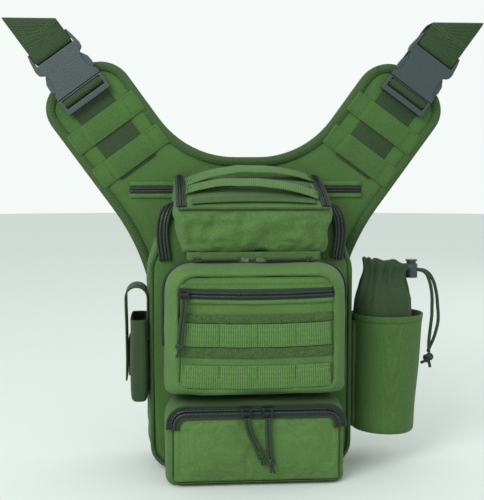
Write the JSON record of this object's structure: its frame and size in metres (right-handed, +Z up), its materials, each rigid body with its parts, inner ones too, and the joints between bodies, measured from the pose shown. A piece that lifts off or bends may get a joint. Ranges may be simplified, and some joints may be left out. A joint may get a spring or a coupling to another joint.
{
  "type": "sling bag",
  "caption": "Padded two-armed harness bag with arched zip compartments, webbing rows, bottle holder, phone pouch and side-release buckles.",
  "frame": {"origin": "on the underside of the main compartment, on the bag's middle plane", "axes": "+Z up, -Y towards the front pockets, +X towards the bottle holder"},
  "size_m": [0.5662, 0.1808, 0.515],
  "materials": {
    "pack_cloth": "matt coated woven nylon",
    "strap_webbing": "flat woven nylon webbing",
    "light_webbing": "flat woven nylon webbing, lighter",
    "binding_tape": "grosgrain edge tape",
    "loop_cloth": "looped hook-and-loop cloth",
    "hook_cloth": "black hook patch",
    "zip_tape": "coil zip on dark tape",
    "cord": "braided nylon cord",
    "back_mesh": "black spacer mesh",
    "foam": "closed cell foam",
    "buckle_plastic": "moulded acetal, fine grain",
    "stiff_board": "flat sheet",
    "slider_metal": "dark painted zinc"
  },
  "bodies": {
    "bag": {"panel_face": "pack_cloth", "panel_foam": "foam", "panel_back_mesh": "back_mesh", "panel_binding": "binding_tape", "panel_zip": "zip_tape", "arm_web_left": "strap_webbing", "arm_web_right": "strap_webbing", "arm_bands": "pack_cloth", "main_body": "pack_cloth", "base_board": "stiff_board", "arch_zip": "zip_tape", "front_gusset": "pack_cloth", "front_zip_outer": "zip_tape", "bottom_pocket": "pack_cloth", "bottom_zip_outer": "zip_tape", "bottle_holder": "pack_cloth", "bottle_liner": "pack_cloth", "phone_pouch": "pack_cloth", "phone_flap_hook": "hook_cloth", "strap_pad": "back_mesh", "strap_glides": "buckle_plastic", "male_buckle_left": "buckle_plastic", "male_buckle_right": "buckle_plastic", "drawcord_front": "cord", "drawcord_back": "cord", "drawcord_knot": "cord"},
    "panel_slider": {"panel_slider": "slider_metal"},
    "hood": {"hood": "pack_cloth", "hood_lid": "pack_cloth", "hood_webbing": "light_webbing", "hood_loop_patch": "loop_cloth", "hood_zip": "zip_tape"},
    "front_door": {"front_pocket": "pack_cloth", "pocket_zip": "zip_tape", "pocket_webbing": "light_webbing", "pocket_loop_strips": "loop_cloth", "front_zip_inner": "zip_tape"},
    "bottom_door": {"bottom_flap": "pack_cloth", "bottom_zip_inner": "zip_tape"},
    "main_slider_left": {"main_slider_left": "slider_metal"},
    "main_slider_right": {"main_slider_right": "slider_metal"},
    "pocket_slider": {"pocket_slider": "slider_metal"},
    "bottom_slider_left": {"bottom_slider_left": "slider_metal"},
    "bottom_slider_right": {"bottom_slider_right": "slider_metal"},
    "main_pull_left": {"main_pull_left": "cord"},
    "main_pull_right": {"main_pull_right": "cord"},
    "pocket_pull": {"pocket_pull": "cord"},
    "bottom_pull_left": {"bottom_pull_left": "cord"},
    "bottom_pull_right": {"bottom_pull_right": "cord"},
    "strap_end_left": {"female_buckle_left": "buckle_plastic", "strap_web_left": "strap_webbing"},
    "strap_end_right": {"female_buckle_right": "buckle_plastic", "strap_web_right": "strap_webbing"},
    "prong_left_outer": {"prong_left_outer": "buckle_plastic"},
    "prong_left_inner": {"prong_left_inner": "buckle_plastic"},
    "prong_right_outer": {"prong_right_outer": "buckle_plastic"},
    "prong_right_inner": {"prong_right_inner": "buckle_plastic"},
    "phone_flap": {"phone_flap": "pack_cloth"},
    "cord_lock": {"cord_lock": "buckle_plastic"},
    "cord_lock_button": {"cord_lock_button": "buckle_plastic"}
  },
  "joints": [
    {"name": "panel_zip_slide", "type": "slide", "parent": "bag", "child": "panel_slider", "axis": [1, 0, 0], "range_m": [-0.12, 0.12]},
    {"name": "hood_open", "type": "hinge", "parent": "bag", "child": "hood", "pos_m": [0, -0.05, 0.249], "axis": [1, 0, 0], "range_deg": [0, 78]},
    {"name": "front_door_open", "type": "hinge", "parent": "bag", "child": "front_door", "pos_m": [0, -0.086, 0.098], "axis": [1, 0, 0], "range_deg": [0, 60]},
    {"name": "bottom_door_open", "type": "hinge", "parent": "bag", "child": "bottom_door", "pos_m": [0, -0.0882, 0.004], "axis": [1, 0, 0], "range_deg": [0, 65]},
    {"name": "main_zip_left", "type": "slide", "parent": "front_door", "child": "main_slider_left", "axis": [1, 0, 0], "range_m": [-0.05, 0]},
    {"name": "main_zip_right", "type": "slide", "parent": "front_door", "child": "main_slider_right", "axis": [1, 0, 0], "range_m": [0, 0.055]},
    {"name": "pocket_zip_slide", "type": "slide", "parent": "front_door", "child": "pocket_slider", "axis": [1, 0, 0], "range_m": [0, 0.15]},
    {"name": "bottom_zip_left", "type": "slide", "parent": "bottom_door", "child": "bottom_slider_left", "axis": [1, 0, 0], "range_m": [-0.055, 0]},
    {"name": "bottom_zip_right", "type": "slide", "parent": "bottom_door", "child": "bottom_slider_right", "axis": [1, 0, 0], "range_m": [0, 0.055]},
    {"name": "main_pull_left_lift", "type": "hinge", "parent": "main_slider_left", "child": "main_pull_left", "pos_m": [-0.0155, -0.0665, 0.244], "axis": [0, 1, 0], "range_deg": [0, 85]},
    {"name": "main_pull_right_lift", "type": "hinge", "parent": "main_slider_right", "child": "main_pull_right", "pos_m": [0.0095, -0.0665, 0.244], "axis": [0, -1, 0], "range_deg": [0, 85]},
    {"name": "pocket_pull_swing", "type": "hinge", "parent": "pocket_slider", "child": "pocket_pull", "pos_m": [-0.078, -0.0971, 0.2095], "axis": [-1, 0, 0], "range_deg": [0, 90]},
    {"name": "bottom_pull_left_swing", "type": "hinge", "parent": "bottom_slider_left", "child": "bottom_pull_left", "pos_m": [-0.012, -0.0955, 0.08], "axis": [-1, 0, 0], "range_deg": [0, 90]},
    {"name": "bottom_pull_right_swing", "type": "hinge", "parent": "bottom_slider_right", "child": "bottom_pull_right", "pos_m": [0.011, -0.0955, 0.08], "axis": [-1, 0, 0], "range_deg": [0, 90]},
    {"name": "left_buckle_release", "type": "slide", "parent": "bag", "child": "strap_end_left", "axis": [-0.5878, 0, 0.809], "range_m": [0, 0.05], "deforming": ["prong_left_outer", "prong_left_inner"]},
    {"name": "prong_left_outer_flex", "type": "hinge", "parent": "bag", "child": "prong_left_outer", "pos_m": [-0.21288, 0.042, 0.42512], "axis": [0, 1, 0], "range_deg": [0, 10], "stiffness_Nm_per_rad": 0.4},
    {"name": "prong_left_inner_flex", "type": "hinge", "parent": "bag", "child": "prong_left_inner", "pos_m": [-0.1789, 0.042, 0.4498], "axis": [0, -1, 0], "range_deg": [0, 10], "stiffness_Nm_per_rad": 0.4},
    {"name": "right_buckle_release", "type": "slide", "parent": "bag", "child": "strap_end_right", "axis": [0.5878, 0, 0.809], "range_m": [0, 0.05], "deforming": ["prong_right_outer", "prong_right_inner"]},
    {"name": "prong_right_outer_flex", "type": "hinge", "parent": "bag", "child": "prong_right_outer", "pos_m": [0.21288, 0.042, 0.42512], "axis": [0, -1, 0], "range_deg": [0, 10], "stiffness_Nm_per_rad": 0.4},
    {"name": "prong_right_inner_flex", "type": "hinge", "parent": "bag", "child": "prong_right_inner", "pos_m": [0.1789, 0.042, 0.4498], "axis": [0, 1, 0], "range_deg": [0, 10], "stiffness_Nm_per_rad": 0.4},
    {"name": "phone_flap_open", "type": "hinge", "parent": "bag", "child": "phone_flap", "pos_m": [-0.13, 0.006, 0.2097], "axis": [0, 1, 0], "range_deg": [0, 120]},
    {"name": "cord_lock_slide", "type": "slide", "parent": "bag", "child": "cord_lock", "axis": [1, 0, 0], "range_m": [-0.003, 0.002]},
    {"name": "cord_lock_press", "type": "slide", "parent": "cord_lock", "child": "cord_lock_button", "axis": [0, 0, -1], "range_m": [0, 0.003], "stiffness_N_per_m": 400}
  ]
}
